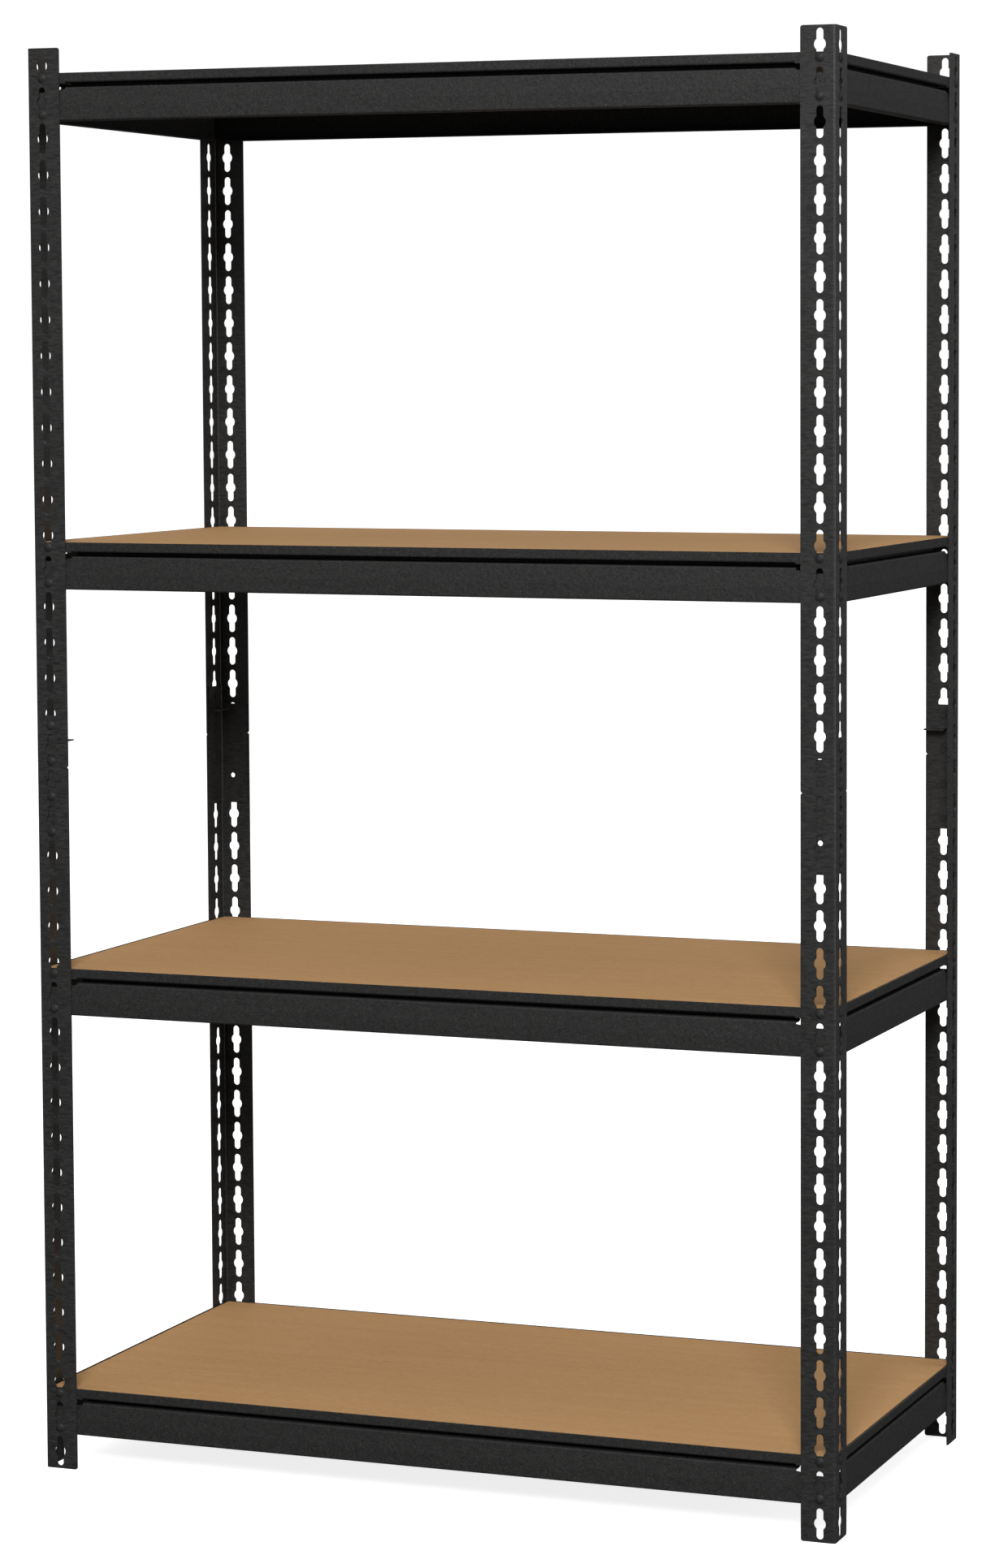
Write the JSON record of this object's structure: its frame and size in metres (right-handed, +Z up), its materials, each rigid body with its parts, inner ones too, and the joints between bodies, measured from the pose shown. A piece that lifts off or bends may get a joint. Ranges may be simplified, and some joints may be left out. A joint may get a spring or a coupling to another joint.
{
  "type": "boltless steel shelving",
  "caption": "Free-standing boltless shelving: slotted steel angle posts in spliced halves, folded beams hung by rivets in keyholes, and loose particleboard decks.",
  "frame": {"origin": "middle of the footprint, on the floor", "axes": "+X to the right seen from the front, +Y to the back, +Z up; the long side of the shelves lies along X"},
  "size_m": [0.9012, 0.4442, 1.524],
  "materials": {
    "post_steel": "fine textured charcoal powder coat, satin",
    "beam_steel": "hammered charcoal powder coat, satin",
    "rivet_steel": "charcoal powder coat over domed rivet heads",
    "particleboard": "raw sanded particleboard, matt"
  },
  "bodies": {
    "frame": {"post_front_left_lower": "post_steel", "post_front_left_upper": "post_steel", "post_front_right_lower": "post_steel", "post_front_right_upper": "post_steel", "post_rear_right_lower": "post_steel", "post_rear_right_upper": "post_steel", "post_rear_left_lower": "post_steel", "post_rear_left_upper": "post_steel", "splice_front_left": "post_steel", "splice_front_right": "post_steel", "splice_rear_right": "post_steel", "splice_rear_left": "post_steel", "splice_rivets_front_left": "rivet_steel", "splice_rivets_front_right": "rivet_steel", "splice_rivets_rear_right": "rivet_steel", "splice_rivets_rear_left": "rivet_steel"},
    "shelf_1": {"shelf_1_beam_front": "beam_steel", "shelf_1_beam_right": "beam_steel", "shelf_1_beam_rear": "beam_steel", "shelf_1_beam_left": "beam_steel", "shelf_1_rivets_front": "rivet_steel", "shelf_1_rivets_right": "rivet_steel", "shelf_1_rivets_rear": "rivet_steel", "shelf_1_rivets_left": "rivet_steel"},
    "deck_1": {"shelf_1_deck": "particleboard"},
    "shelf_2": {"shelf_2_beam_front": "beam_steel", "shelf_2_beam_right": "beam_steel", "shelf_2_beam_rear": "beam_steel", "shelf_2_beam_left": "beam_steel", "shelf_2_rivets_front": "rivet_steel", "shelf_2_rivets_right": "rivet_steel", "shelf_2_rivets_rear": "rivet_steel", "shelf_2_rivets_left": "rivet_steel"},
    "deck_2": {"shelf_2_deck": "particleboard"},
    "shelf_3": {"shelf_3_beam_front": "beam_steel", "shelf_3_beam_right": "beam_steel", "shelf_3_beam_rear": "beam_steel", "shelf_3_beam_left": "beam_steel", "shelf_3_rivets_front": "rivet_steel", "shelf_3_rivets_right": "rivet_steel", "shelf_3_rivets_rear": "rivet_steel", "shelf_3_rivets_left": "rivet_steel"},
    "deck_3": {"shelf_3_deck": "particleboard"},
    "shelf_4": {"shelf_4_beam_front": "beam_steel", "shelf_4_beam_right": "beam_steel", "shelf_4_beam_rear": "beam_steel", "shelf_4_beam_left": "beam_steel", "shelf_4_rivets_front": "rivet_steel", "shelf_4_rivets_right": "rivet_steel", "shelf_4_rivets_rear": "rivet_steel", "shelf_4_rivets_left": "rivet_steel"},
    "deck_4": {"shelf_4_deck": "particleboard"}
  },
  "joints": [
    {"name": "shelf_1_unhook", "type": "slide", "parent": "frame", "child": "shelf_1", "axis": [0, 0, 1], "range_m": [0, 0.0128]},
    {"name": "deck_1_lift_off", "type": "slide", "parent": "shelf_1", "child": "deck_1", "axis": [0, 0, 1], "range_m": [0, 0.3]},
    {"name": "shelf_2_unhook", "type": "slide", "parent": "frame", "child": "shelf_2", "axis": [0, 0, 1], "range_m": [0, 0.0128]},
    {"name": "deck_2_lift_off", "type": "slide", "parent": "shelf_2", "child": "deck_2", "axis": [0, 0, 1], "range_m": [0, 0.42]},
    {"name": "shelf_3_unhook", "type": "slide", "parent": "frame", "child": "shelf_3", "axis": [0, 0, 1], "range_m": [0, 0.0128]},
    {"name": "deck_3_lift_off", "type": "slide", "parent": "shelf_3", "child": "deck_3", "axis": [0, 0, 1], "range_m": [0, 0.12]},
    {"name": "shelf_4_unhook", "type": "slide", "parent": "frame", "child": "shelf_4", "axis": [0, 0, 1], "range_m": [0, 0.0128]},
    {"name": "deck_4_lift_off", "type": "slide", "parent": "shelf_4", "child": "deck_4", "axis": [0, 0, 1], "range_m": [0, 0.38]}
  ]
}
